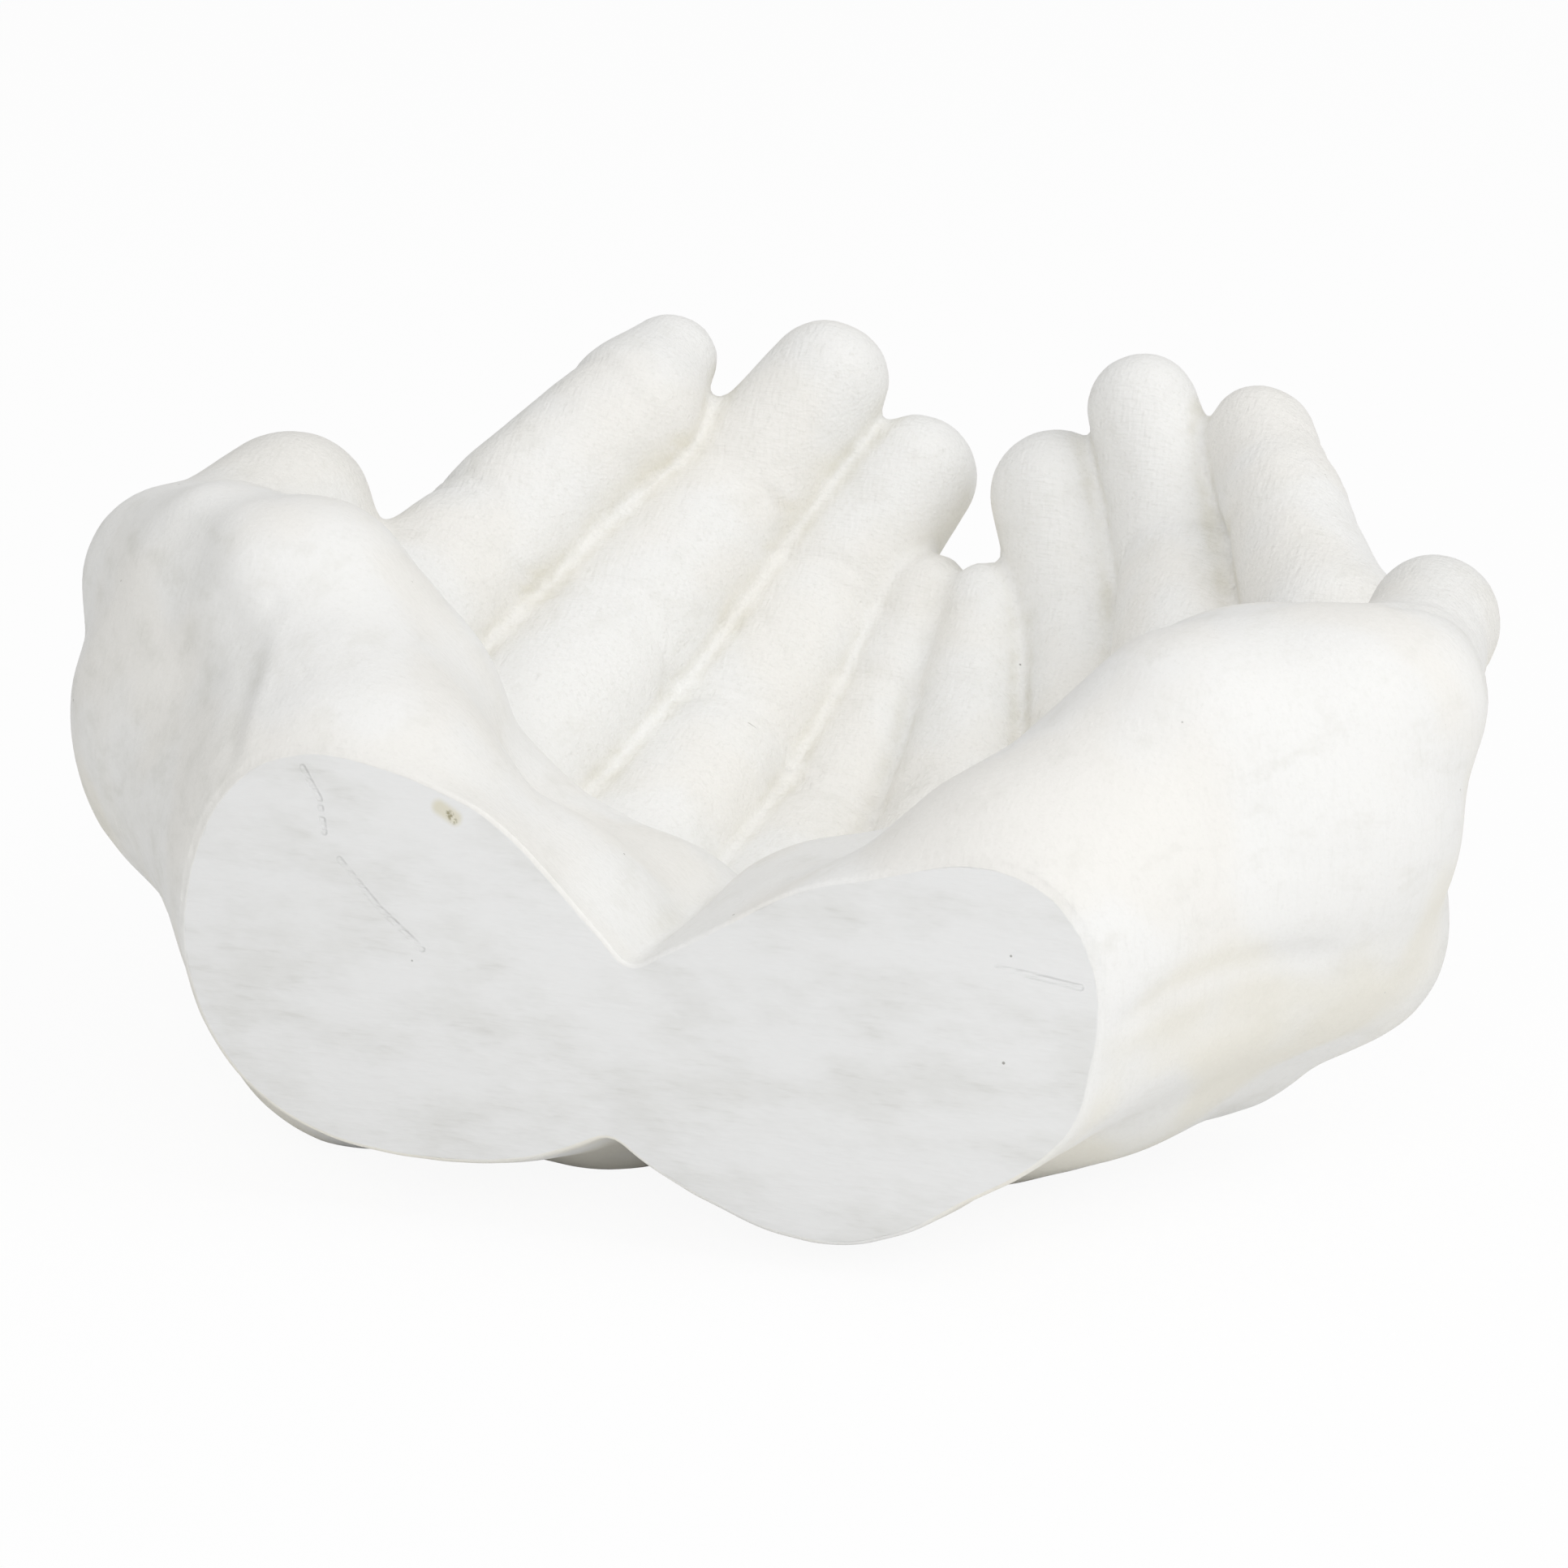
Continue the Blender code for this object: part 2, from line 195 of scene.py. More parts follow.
def round_cone(points, a, b, ra, rb, flat=None):
    """Distance to the hull of two spheres, squeezed along `flat`, for the points in its reach."""
    axis = b - a
    from_middle = points - (a + b) / 2
    room = np.linalg.norm(axis) / 2 + max(ra, rb) + BLEND_ROOM
    close = np.einsum("ij,ij->i", from_middle, from_middle) < room * room
    field = np.full(len(points), FAR)
    if not close.any():
        return field
    p = points[close]
    length2 = axis @ axis
    drop = ra - rb
    lean = max(length2 - drop * drop, 1e-6)
    to_p = p - a
    along = to_p @ axis
    if flat is not None:
        flat = flat - axis * (flat @ axis) / length2
        flat = flat / np.linalg.norm(flat)
        to_p = to_p + np.outer((to_p @ flat) * (1.0 / FINGER_FLATNESS - 1.0), flat)
    off = to_p - np.outer(along / length2, axis)
    off2 = np.einsum("ij,ij->i", off, off)
    before = along * along / length2
    beyond = (along - length2) ** 2 / length2
    turn = np.sign(drop) * drop * drop * off2
    side = np.sqrt(off2 * lean / length2) + along * drop / length2 - ra
    far_end = np.sqrt(off2 + beyond) - rb
    near_end = np.sqrt(off2 + before) - ra
    past = np.sign(along - length2) * lean * beyond > turn
    short = np.sign(along) * lean * before < turn
    field[close] = np.where(past, far_end, np.where(short, near_end, side))
    return field


def unit(v):
    return v / np.linalg.norm(v)


def palm_side(joints):
    """Direction in which a finger is bent, square to the line from knuckle to tip."""
    chord = unit(joints[3][0] - joints[0][0])
    bend = (joints[0][0] + joints[3][0]) / 2 - (joints[1][0] + joints[2][0]) / 2
    return unit(bend - chord * (bend @ chord))


def finger_field(p, joints, first_pad):
    bend = palm_side(joints)
    field = None
    for k in range(3):
        a, ra = joints[k]
        b, rb = joints[k + 1]
        bone = round_cone(p, a, b, ra, rb, bend)
        field = bone if field is None else soft_min(field, bone, JOINT_BLEND)
        if k < first_pad:
            continue
        line = unit(b - a)
        lift = unit(bend - line * (bend @ line))
        r0 = ra + (rb - ra) * PAD_START[k]
        r1 = ra + (rb - ra) * PAD_END[k]
        pa = a + (b - a) * PAD_START[k] + lift * PAD_LIFT[k] * r0
        pb = a + (b - a) * PAD_END[k] + lift * PAD_LIFT[k] * r1
        field = soft_min(field, round_cone(p, pa, pb, r0 * PAD_SIZE[k], r1 * PAD_SIZE[k]), PAD_BLEND)
    return field


def hand_field(p, hand):
    fingers = None
    for name in FINGERS:
        one = finger_field(p, [hand[name, k] for k in range(4)], 0)
        fingers = one if fingers is None else soft_min(fingers, one, FINGER_BLEND)
    thumb = finger_field(p, [hand["thumb", k] for k in range(4)], 1)
    palm = None
    for start, end in PALM_BONES:
        (a, ra), (b, rb) = hand[start], hand[end]
        one = round_cone(p, a, b, ra, rb)
        palm = one if palm is None else soft_min(palm, one, PALM_BLEND)
    palm = soft_min(palm, thumb, THUMB_BLEND)
    return soft_min(palm, fingers, WEB_BLEND)


def casting_field(p, hands):
    """Distance to the joined hands; each hand is only worked out where it can be the nearer."""
    fields = []
    for side, hand in hands:
        own = np.full(len(p), FAR)
        close = p[:, 0] * side > -REACH
        own[close] = hand_field(p[close] * (side, 1.0, 1.0), hand)
        fields.append(own)
    return soft_min(fields[0], fields[1], HANDS_BLEND)


def read_hand(own):
    """Joint positions and radii of one hand, with its own shifts added."""
    hand = {}
    for key, (x, y, z, r) in JOINTS.items():
        dx, dy, dz, dr = own.get(key, (0, 0, 0, 0))
        hand[key] = (np.array((x + dx, y + dy, z + dz), float), float(r + dr))
    return hand


def settle(points, hands, rounds):
    """Moves points onto the surface of the casting along the slope of its field."""
    corners = np.array(((1, -1, -1), (-1, -1, 1), (-1, 1, -1), (1, 1, 1))) * PROBE
    for _ in range(rounds):
        samples = [casting_field(points + c, hands) for c in corners]
        slope = sum(np.outer(s, c) for s, c in zip(samples, corners)) / (4 * PROBE * PROBE)
        steep = np.maximum(np.einsum("ij,ij->i", slope, slope), LEAST_SLOPE)
        step = np.clip(sum(samples) / 4, -LONGEST_STEP, LONGEST_STEP) / steep
        points = points - slope * step[:, None]
    return points


def even_out(points, edges, amount):
    """Draws every point towards the middle of its neighbours."""
    total = np.zeros_like(points)
    count = np.zeros(len(points))
    for a, b in ((0, 1), (1, 0)):
        np.add.at(total, edges[:, a], points[edges[:, b]])
        np.add.at(count, edges[:, a], 1.0)
    return points + (total / count[:, None] - points) * amount


def rough_limbs(hands):
    """Overlapping balls and cones along all the bones, as one mesh in millimetres."""
    limbs = bmesh.new()
    mesh = bpy.data.meshes.new("limbs")
    for side, hand in hands:
        chains = [((name, k), (name, k + 1)) for name in FINGERS + ("thumb",) for k in range(3)]
        for start, end in chains + list(PALM_BONES):
            (a, ra), (b, rb) = hand[start], hand[end]
            a = Vector(a * (side, 1.0, 1.0))
            b = Vector(b * (side, 1.0, 1.0))
            turn = (b - a).to_track_quat("Z", "Y").to_matrix().to_4x4()
            limb = bmesh.new()
            bmesh.ops.create_cone(
                limb, cap_ends=True, segments=20, radius1=ra, radius2=rb,
                depth=(b - a).length, matrix=Matrix.Translation((a + b) / 2) @ turn)
            for centre, radius in ((a, ra), (b, rb)):
                bmesh.ops.create_uvsphere(
                    limb, u_segments=20, v_segments=12, radius=radius, matrix=Matrix.Translation(centre))
            limb.to_mesh(mesh)
            limb.free()
            limbs.from_mesh(mesh)
    limbs.to_mesh(mesh)
    limbs.free()
    return mesh


def evaluated(mesh, kind, **values):
    """The mesh after one modifier of the given kind."""
    tool = bpy.data.objects.new("tool", mesh)
    bpy.context.scene.collection.objects.link(tool)
    modifier = tool.modifiers.new("step", kind)
    for name, value in values.items():
        setattr(modifier, name, value)
    finished = tool.evaluated_get(bpy.context.evaluated_depsgraph_get())
    result = bpy.data.meshes.new_from_object(finished)
    bpy.data.objects.remove(tool)
    bpy.data.meshes.remove(mesh)
    return result


def keep_largest(mesh):
    """Drops loose shells, such as a hollow closed in between the bones."""
    bm = bmesh.new()
    bm.from_mesh(mesh)
    bm.verts.ensure_lookup_table()
    seen = set()
    shells = []
    for first in bm.verts:
        if first.index in seen:
            continue
        seen.add(first.index)
        shell = [first]
        for v in shell:
            for e in v.link_edges:
                other = e.other_vert(v)
                if other.index not in seen:
                    seen.add(other.index)
                    shell.append(other)
        shells.append(shell)
    shells.sort(key=len)
    loose = [v for shell in shells[:-1] for v in shell]
    bmesh.ops.delete(bm, geom=loose, context="VERTS")
    bm.to_mesh(mesh)
    bm.free()


def cut_flat(bm, point, outward):
    """Cuts away what lies beyond a plane and closes the cut with a flat face."""
    geom = bm.verts[:] + bm.edges[:] + bm.faces[:]
    cut = bmesh.ops.bisect_plane(
        bm, geom=geom, dist=1e-6, plane_co=point, plane_no=outward, clear_outer=True)
    edges = [e for e in cut["geom_cut"] if isinstance(e, bmesh.types.BMEdge)]
    return bmesh.ops.holes_fill(bm, edges=edges, sides=0)["faces"]


def corners_of(mesh):
    """The mesh's points as an array."""
    points = np.empty(len(mesh.vertices) * 3)
    mesh.vertices.foreach_get("co", points)
    return points.reshape(-1, 3)


def links_of(mesh):
    """The ends of the mesh's edges."""
    links = np.empty(len(mesh.edges) * 2, dtype=np.int32)
    mesh.edges.foreach_get("vertices", links)
    return links.reshape(-1, 2)


# Marks of this casting, at places read off the photograph: points along the mark, half width and
# depth, with raised lines below zero
SKIN_MARKS = (
    (((-30.0, 122.0, 75.0), (-27.0, 123.5, 73.0), (-23.5, 125.5, 70.0)), 1.0, -0.60),
    (((-15.0, 122.5, 60.5), (-11.0, 124.5, 57.0)), 1.0, -0.55),
    (((-27.5, 50.5, 48.0), (-17.0, 48.0, 43.0), (-5.0, 45.5, 40.5)), 0.9, 0.35),
    (((-79.0, 44.0, 84.0), (-72.0, 37.5, 84.5), (-67.0, 30.0, 81.5)), 5.5, -1.30),
    (((-69.0, 27.0, 76.0), (-63.0, 19.0, 73.0), (-60.0, 12.5, 68.5), (-57.5, 4.0, 63.0)), 2.6, 0.55),
    (((-59.0, 22.0, 76.5), (-56.0, 11.5, 70.0), (-54.5, 3.0, 64.0)), 1.8, -0.40),
    (((-75.5, 33.5, 78.5), (-70.5, 29.0, 78.5)), 1.2, 0.25),
    (((-60.5, 25.0, 77.5), (-59.0, 24.0, 76.5)), 0.8, 0.35),
    (((-51.0, 13.5, 72.5), (-50.0, 11.5, 71.5)), 0.7, 0.25),
    (((66.5, 4.0, 40.0), (70.0, 10.0, 42.5), (75.0, 18.0, 43.0), (83.0, 33.0, 41.5)), 2.4, 0.75),
    (((65.5, 3.0, 33.0), (71.0, 14.0, 36.5), (80.0, 29.0, 36.5)), 6.0, 1.00),
    (((83.5, 61.0, 81.5), (88.0, 65.5, 79.5), (92.5, 68.0, 75.0), (96.5, 63.0, 70.5)), 1.0, 0.55),
    (((82.5, 66.0, 82.0), (87.5, 69.5, 80.0), (92.0, 71.0, 76.5)), 0.9, 0.25),
    (((74.0, 18.0, 55.0), (81.0, 27.5, 55.5), (88.5, 35.0, 55.0)), 1.2, 0.18),
    (((75.0, 22.0, 51.5), (84.0, 32.0, 51.0)), 1.1, 0.15),
)

# Creases on the palm side of the joints and wrinkles on their backs: depth, width, how much a line
# bows, and where the lines of the middle joint and of the end joint lie along the finger
CREASE_DEPTH = 0.42
CREASE_WIDTH = 0.9
CREASE_BOW = 0.035
MIDDLE_CREASES = (-1.6, 1.4)
END_CREASES = (0.0,)
WRINKLE_DEPTH = 0.18
WRINKLE_WIDTH = 0.7
WRINKLE_BOW = 0.05
MIDDLE_WRINKLES = (-3.6, -1.3, 1.2, 3.4)
END_WRINKLES = (-1.8, 0.4, 2.4)

# Nails: place and half sizes as shares of the fingertip's radius, and depths
NAIL_PLACE = 0.1
NAIL_HALF_LENGTH = 0.95
NAIL_HALF_WIDTH = 0.8
NAIL_DEPTH = 0.12
NAIL_GROOVE_DEPTH = 0.35
NAIL_GROOVE_WIDTH = 0.7
THUMB_BACK = np.array((0.75, 0.6, 0.2))


def smooth_rise(value, low, high):
    """0 below low, 1 above high and an even slope in between."""
    t = np.clip((value - low) / (high - low), 0.0, 1.0)
    return t * t * (3.0 - 2.0 * t)


def line_depth(points, path, width, depth):
    """Depth of a rounded groove along a path."""
    off = np.full(len(points), FAR)
    for a, b in zip(np.array(path[:-1]), np.array(path[1:])):
        along = np.clip((points - a) @ (b - a) / ((b - a) @ (b - a)), 0.0, 1.0)
        off = np.minimum(off, np.linalg.norm(points - a - np.outer(along, b - a), axis=1))
    return depth * np.exp(-(off / width) ** 2)


def nail_depth(along, across, radius):
    """A nail lies a little under the skin, in a narrow groove."""
    lengthwise = np.abs((along - NAIL_PLACE * radius) / (NAIL_HALF_LENGTH * radius))
    sideways = np.abs(across / (NAIL_HALF_WIDTH * radius))
    rim = (lengthwise ** 3 + sideways ** 3) ** (1 / 3)
    groove = NAIL_GROOVE_DEPTH * np.exp(-((rim - 1.0) * radius / NAIL_GROOVE_WIDTH) ** 2)
    return groove + NAIL_DEPTH * smooth_rise(1.0 - rim, -0.05, 0.1)


def finger_relief(points, joints, back, first):
    """Creases on the palm side of the joints, wrinkles on their backs, and the nail."""
    depth = np.zeros(len(points))
    for k in range(first, 4):
        centre, radius = joints[k]
        line = unit(joints[min(k + 1, 3)][0] - joints[k - 1][0])
        behind = unit(back - line * (back @ line))
        rest = points - centre
        near = smooth_rise(-np.linalg.norm(rest, axis=1), -1.9 * radius, -1.5 * radius)
        along = rest @ line
        across = rest @ np.cross(line, behind)
        palm_face = smooth_rise(-rest @ behind, 0.15 * radius, 0.6 * radius) * near
        back_face = smooth_rise(rest @ behind, 0.55 * radius, 0.90 * radius) * near
        if k == 3:
            depth += nail_depth(along, across, radius) * back_face
            continue
        bow = along + CREASE_BOW * across * across
        for place in MIDDLE_CREASES if k == 1 else END_CREASES:
            depth += CREASE_DEPTH * np.exp(-((bow - place) / CREASE_WIDTH) ** 2) * palm_face
        bow = along + WRINKLE_BOW * across * across
        for place in MIDDLE_WRINKLES if k == 1 else END_WRINKLES:
            depth += WRINKLE_DEPTH * np.exp(-((bow - place) / WRINKLE_WIDTH) ** 2) * back_face
    return depth


def relief(points, hands):
    """How far each point of the skin lies under the plain form."""
    depth = np.zeros(len(points))
    for side, hand in hands:
        own = points * (side, 1.0, 1.0)
        for name in FINGERS:
            joints = [hand[name, k] for k in range(4)]
            depth += finger_relief(own, joints, -palm_side(joints), 1)
        depth += finger_relief(own, [hand["thumb", k] for k in range(4)], unit(THUMB_BACK), 3)
    for path, width, amount in SKIN_MARKS:
        depth += line_depth(points, path, width, amount)
    return depth


hands = ((1.0, read_hand({})), (-1.0, read_hand(LEFT_OWN)))
skin = evaluated(rough_limbs(hands), "REMESH", mode="VOXEL", voxel_size=SKIN_STEP, adaptivity=0.0)
keep_largest(skin)
edges = links_of(skin)
points = settle(corners_of(skin), hands, 4)
for _ in range(2):
    points = settle(even_out(points, edges, EVENING), hands, 2)
skin.vertices.foreach_set("co", points.ravel())
skin.update()
skin = evaluated(skin, "SUBSURF", levels=1, render_levels=1)
edges = links_of(skin)
points = corners_of(skin)
for _ in range(3):
    points = settle(even_out(points, edges, EVENING), hands, 1)
points = even_out(points, edges, EVENING)
skin.vertices.foreach_set("co", points.ravel())
skin.update()

# How closed in each place is, from the free way straight out of it; plaster fills the folds a little
PROBE_OUT = 4.0
FILL_GAIN = 2.5
FILL_START = 0.5
FILL_ROUNDS = 4
outward = np.empty(len(points) * 3)
skin.vertices.foreach_get("normal", outward)
outward = outward.reshape(-1, 3)
closed = 1.0 - np.clip(casting_field(points + outward * PROBE_OUT, hands) / PROBE_OUT, 0.0, 1.0)
skin.attributes.new("crease", "FLOAT", "POINT").data.foreach_set("value", closed)
filled = np.clip(FILL_GAIN * closed - FILL_START, 0.0, 1.0)[:, None]
for _ in range(FILL_ROUNDS):
    points += (even_out(points, edges, EVENING) - points) * filled

# The skin keeps clear of the saw cut, so that the rim is an even strip of faces
RIM_CLEAR = 0.7
by_cut = np.abs(points[:, 1]) < RIM_CLEAR
level = np.where(points[by_cut, 1] > 0.0, RIM_CLEAR, -RIM_CLEAR)
for _ in range(3):
    points[by_cut, 1] = level
    points[by_cut] = settle(points[by_cut], hands, 1)
points[by_cut, 1] = level

# Slow waves in the skin and slow changes of its tint, then the creases, nails and marks
WAVE_SIZE = 9.0
WAVE_HEIGHT = 0.16
TINT_SIZE = 24.0
wavy = np.array([soft_noise.fractal(Vector(v) / WAVE_SIZE, 1.0, 2.0, 2) for v in points])
tint = np.array([soft_noise.fractal(Vector(v) / TINT_SIZE, 1.0, 2.0, 3) for v in points])
skin.attributes.new("tint", "FLOAT", "POINT").data.foreach_set("value", 0.5 + 0.5 * tint)
points = points + outward * (WAVE_HEIGHT * wavy - relief(points, hands))[:, None]
skin.vertices.foreach_set("co", points.ravel())
skin.update()

# The wrists are sawn off in one plane, and the lowest skin is rubbed flat where the bowl stands. The
# sawn rim is rounded by two strips, each with a width and a way that its outer edge is set back.
REST_LEVEL = 2.2
RIM_STRIPS = ((0.25, 0.45), (0.45, 0.12))
MOST_CORNERS_SMOOTH = 6
SHARP_ANGLE = 50.0
bm = bmesh.new()
bm.from_mesh(skin)
wrists = cut_flat(bm, (0.0, 0.0, 0.0), (0.0, -1.0, 0.0))
for width, drop in RIM_STRIPS:
    ring = bmesh.ops.inset_region(bm, faces=wrists, thickness=width, use_even_offset=True)["faces"]
    inner = {v for face in wrists for v in face.verts}
    outer = {v for face in ring for v in face.verts} - inner
    bmesh.ops.translate(bm, vec=(0.0, drop, 0.0), verts=list(outer))
cut_flat(bm, (0.0, 0.0, REST_LEVEL), (0.0, 0.0, -1.0))
bmesh.ops.recalc_face_normals(bm, faces=bm.faces[:])
bmesh.ops.scale(bm, vec=(MM, MM, MM), verts=bm.verts[:])
cad_low, cad_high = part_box("cupped_hands")
low = Vector([min(v.co[k] for v in bm.verts) for k in range(3)])
high = Vector([max(v.co[k] for v in bm.verts) for k in range(3)])
shift = (cad_low + cad_high) / 2 - (low + high) / 2
shift.z = cad_low.z - low.z
bmesh.ops.translate(bm, vec=shift, verts=bm.verts[:])
for face in bm.faces:
    face.smooth = len(face.verts) <= MOST_CORNERS_SMOOTH
casting_mesh = bpy.data.meshes.new("hands_casting")
bm.to_mesh(casting_mesh)
bm.free()
casting = bpy.data.objects.new("hands_casting", casting_mesh)
bpy.context.scene.collection.objects.link(casting)
casting_mesh.set_sharp_from_angle(angle=math.radians(SHARP_ANGLE))

# Plaster: matt and off-white, with fine skin lines, pinholes, brush strokes and a little old dust, and
# painted shade in the folds, on the undersides and on the left hand's left side. Its patterns are laid
# out in the casting's own millimetres.
CLEAN_WHITE = (0.865, 0.862, 0.845, 1.0)
WARM_WHITE = (0.856, 0.842, 0.808, 1.0)
PATCH_GREY = (0.72, 0.71, 0.66, 1.0)
GRAIN_GREY = (0.60, 0.59, 0.54, 1.0)
STROKE_GREY = (0.66, 0.655, 0.61, 1.0)
# Painted shade: the next three colours darken the folds, the undersides and the left hand's left side
DUST_AND_FOLD_SHADE_BROWN = (0.64, 0.61, 0.50, 1.0)
UNDERSIDE_SHADE_CREAM = (0.85, 0.815, 0.69, 1.0)
SIDE_SHADE_GREY = (0.58, 0.58, 0.53, 1.0)
THUMB_GREY = (0.62, 0.61, 0.57, 1.0)
CUT_WHITE = (0.822, 0.824, 0.818, 1.0)
CUT_GREY = (0.752, 0.752, 0.735, 1.0)
SMEAR_GREY = (0.58, 0.575, 0.54, 1.0)
PINHOLE_BROWN = (0.20, 0.19, 0.16, 1.0)
HAIR_GREY = (0.33, 0.32, 0.28, 1.0)
STAIN_OLIVE = (0.66, 0.61, 0.42, 1.0)
SPOT_BROWN = (0.34, 0.31, 0.20, 1.0)
PLASTER_ROUGHNESS = 0.62
plaster = bpy.data.materials.new("white_plaster")
plaster.use_nodes = True
tree = plaster.node_tree
shader = tree.nodes["Principled BSDF"]


def add_node(kind, **settings):
    made = tree.nodes.new("ShaderNode" + kind)
    for name, value in settings.items():
        setattr(made, name, value)
    return made


def feed(socket, value):
    """Links an output to a socket, or writes a plain value to it."""
    if isinstance(value, bpy.types.NodeSocket):
        tree.links.new(value, socket)
    else:
        socket.default_value = value


def math_of(operation, a, b=0.0, clamp=False):
    made = add_node("Math", operation=operation, use_clamp=clamp)
    feed(made.inputs[0], a)
    feed(made.inputs[1], b)
    return made.outputs[0]


def both(a, b):
    """Product of two masks, or a mask and its share."""
    return math_of("MULTIPLY", a, b)


def more_where(mask, least, extra):
    """A share that grows from its least value by an extra where a mask is 1."""
    return math_of("ADD", least, both(mask, extra))


def rise(value, low, high):
    """0 below low and 1 above high."""
    made = add_node("MapRange", interpolation_type="SMOOTHSTEP")
    feed(made.inputs["Value"], value)
    made.inputs["From Min"].default_value = low
    made.inputs["From Max"].default_value = high
    return made.outputs["Result"]


def blend(factor, first, second):
    made = add_node("Mix", data_type="RGBA")
    feed(made.inputs["Factor"], factor)
    feed(made.inputs[6], first)
    feed(made.inputs[7], second)
    return made.outputs[2]


def toned(colour, mask, share, tone):
    """A colour that takes on a share of another tone where a mask is 1."""
    return blend(both(mask, share), colour, tone)


def stretched(place, scale, turn=(0.0, 0.0, 0.0)):
    made = add_node("Mapping")
    feed(made.inputs["Vector"], place)
    made.inputs["Scale"].default_value = scale
    made.inputs["Rotation"].default_value = [math.radians(a) for a in turn]
    return made.outputs["Vector"]


def noise(place, scale, detail, rough):
    made = add_node("TexNoise")
    feed(made.inputs["Vector"], place)
    made.inputs["Scale"].default_value = scale
    made.inputs["Detail"].default_value = detail
    made.inputs["Roughness"].default_value = rough
    return made.outputs["Fac"]


def weighed(pattern, height):
    """A pattern's height in millimetres, with its middle at zero."""
    return both(math_of("SUBTRACT", pattern, 0.5), height)


def attribute(name):
    return add_node("Attribute", attribute_name=name).outputs["Fac"]


def near_line(place, start, end, width):
    """1 on a line between two places and 0 beyond its width."""
    start = Vector(start)
    run = Vector(end) - start
    rest = add_node("VectorMath", operation="SUBTRACT")
    feed(rest.inputs[0], place)
    rest.inputs[1].default_value = start
    dot = add_node("VectorMath", operation="DOT_PRODUCT")
    feed(dot.inputs[0], rest.outputs[0])
    dot.inputs[1].default_value = run / run.length_squared
    along = math_of("ADD", dot.outputs["Value"], 0.0, clamp=True)
    foot = add_node("VectorMath", operation="SCALE")
    foot.inputs[0].default_value = run
    feed(foot.inputs["Scale"], along)
    gap = add_node("VectorMath", operation="DISTANCE")
    feed(gap.inputs[0], rest.outputs[0])
    feed(gap.inputs[1], foot.outputs[0])
    return math_of("SUBTRACT", 1.0, rise(gap.outputs["Value"], 0.3 * width, width))


def near_paths(place, paths, width):
    """1 on any of some paths of straight lines and 0 beyond their width."""
    mask = 0.0
    for path in paths:
        for start, end in zip(path, path[1:]):
            mask = math_of("MAXIMUM", mask, near_line(place, start, end, width))
    return mask


coords = add_node("TexCoord")
laid = add_node("Mapping")
feed(laid.inputs["Vector"], coords.outputs["Object"])
laid.inputs["Scale"].default_value = (1 / MM, 1 / MM, 1 / MM)
laid.inputs["Location"].default_value = -shift / MM
place = laid.outputs["Vector"]
facing = add_node("SeparateXYZ")
feed(facing.inputs[0], coords.outputs["Normal"])
where = add_node("SeparateXYZ")
feed(where.inputs[0], place)
facing_cut = both(rise(facing.outputs["Y"], -0.9, -0.99), rise(where.outputs["Y"], 0.1, 0.05))
on_skin = math_of("SUBTRACT", 1.0, facing_cut)

# Colour of the skin: slow clouds, patches, grain, brush strokes, and dust with painted shade in the
# folds
on_fingers = rise(where.outputs["Y"], 55.0, 85.0)
cloud = attribute("tint")
patch = noise(stretched(place, (1.0, 0.6, 1.3), (20.0, 35.0, 0.0)), 0.16, 3.0, 0.65)
grain = noise(place, 1.7, 2.0, 0.7)
strokes = noise(stretched(place, (1.1, 1.1, 0.16), (15.0, 0.0, 20.0)), 1.0, 2.0, 0.6)
colour = blend(rise(cloud, 0.40, 0.68), CLEAN_WHITE, WARM_WHITE)
colour = toned(colour, rise(patch, 0.50, 0.75), 0.28, PATCH_GREY)
colour = toned(colour, rise(grain, 0.52, 0.75), more_where(on_fingers, 0.10, 0.10), GRAIN_GREY)
colour = toned(colour, rise(strokes, 0.50, 0.75), 0.10, STROKE_GREY)
# Folds are painted browner and darker by how closed in they are: painted shade, with some dust, stronger
# in the patches
dust_and_fold_shade = both(rise(attribute("crease"), 0.25, 0.90), math_of("ADD", 0.25, rise(patch, 0.30, 0.70)))
colour = toned(colour, dust_and_fold_shade, 0.30, DUST_AND_FOLD_SHADE_BROWN)

# Painted shade: surfaces facing down are painted creamier and a little darker, in patches, and the
# left hand's surfaces facing left are painted greyer. The thumbs are greyer.
# Painted shade on the surfaces that face down
underside_shade = both(rise(facing.outputs["Z"], 0.10, -0.45), rise(cloud, 0.30, 0.62))
colour = toned(colour, underside_shade, 0.45, UNDERSIDE_SHADE_CREAM)
# Painted shade on the left hand's surfaces that face left
left_side_shade = both(rise(facing.outputs["X"], -0.15, -0.70), rise(where.outputs["X"], -45.0, -62.0))
colour = toned(colour, left_side_shade, more_where(rise(patch, 0.35, 0.75), 0.10, 0.20), SIDE_SHADE_GREY)
out_x = math_of("ABSOLUTE", where.outputs["X"])
on_thumbs = both(rise(out_x, 66.0, 76.0), rise(where.outputs["Y"], 58.0, 66.0))
colour = toned(colour, on_thumbs, more_where(strokes, 0.12, 0.12), THUMB_GREY)

# Smears on the sawn wrists
smear = noise(stretched(place, (0.045, 1.0, 0.11), (0.0, 14.0, 0.0)), 1.0, 4.0, 0.62)
fine_smear = noise(stretched(place, (0.16, 1.0, 0.95), (0.0, 14.0, 0.0)), 1.0, 2.0, 0.6)
smeared = both(rise(fine_smear, 0.50, 0.75), rise(smear, 0.45, 0.62))
cut_colour = blend(rise(smear, 0.40, 0.70), CUT_WHITE, CUT_GREY)
cut_colour = toned(cut_colour, smeared, 0.30, SMEAR_GREY)
colour = blend(facing_cut, colour, cut_colour)

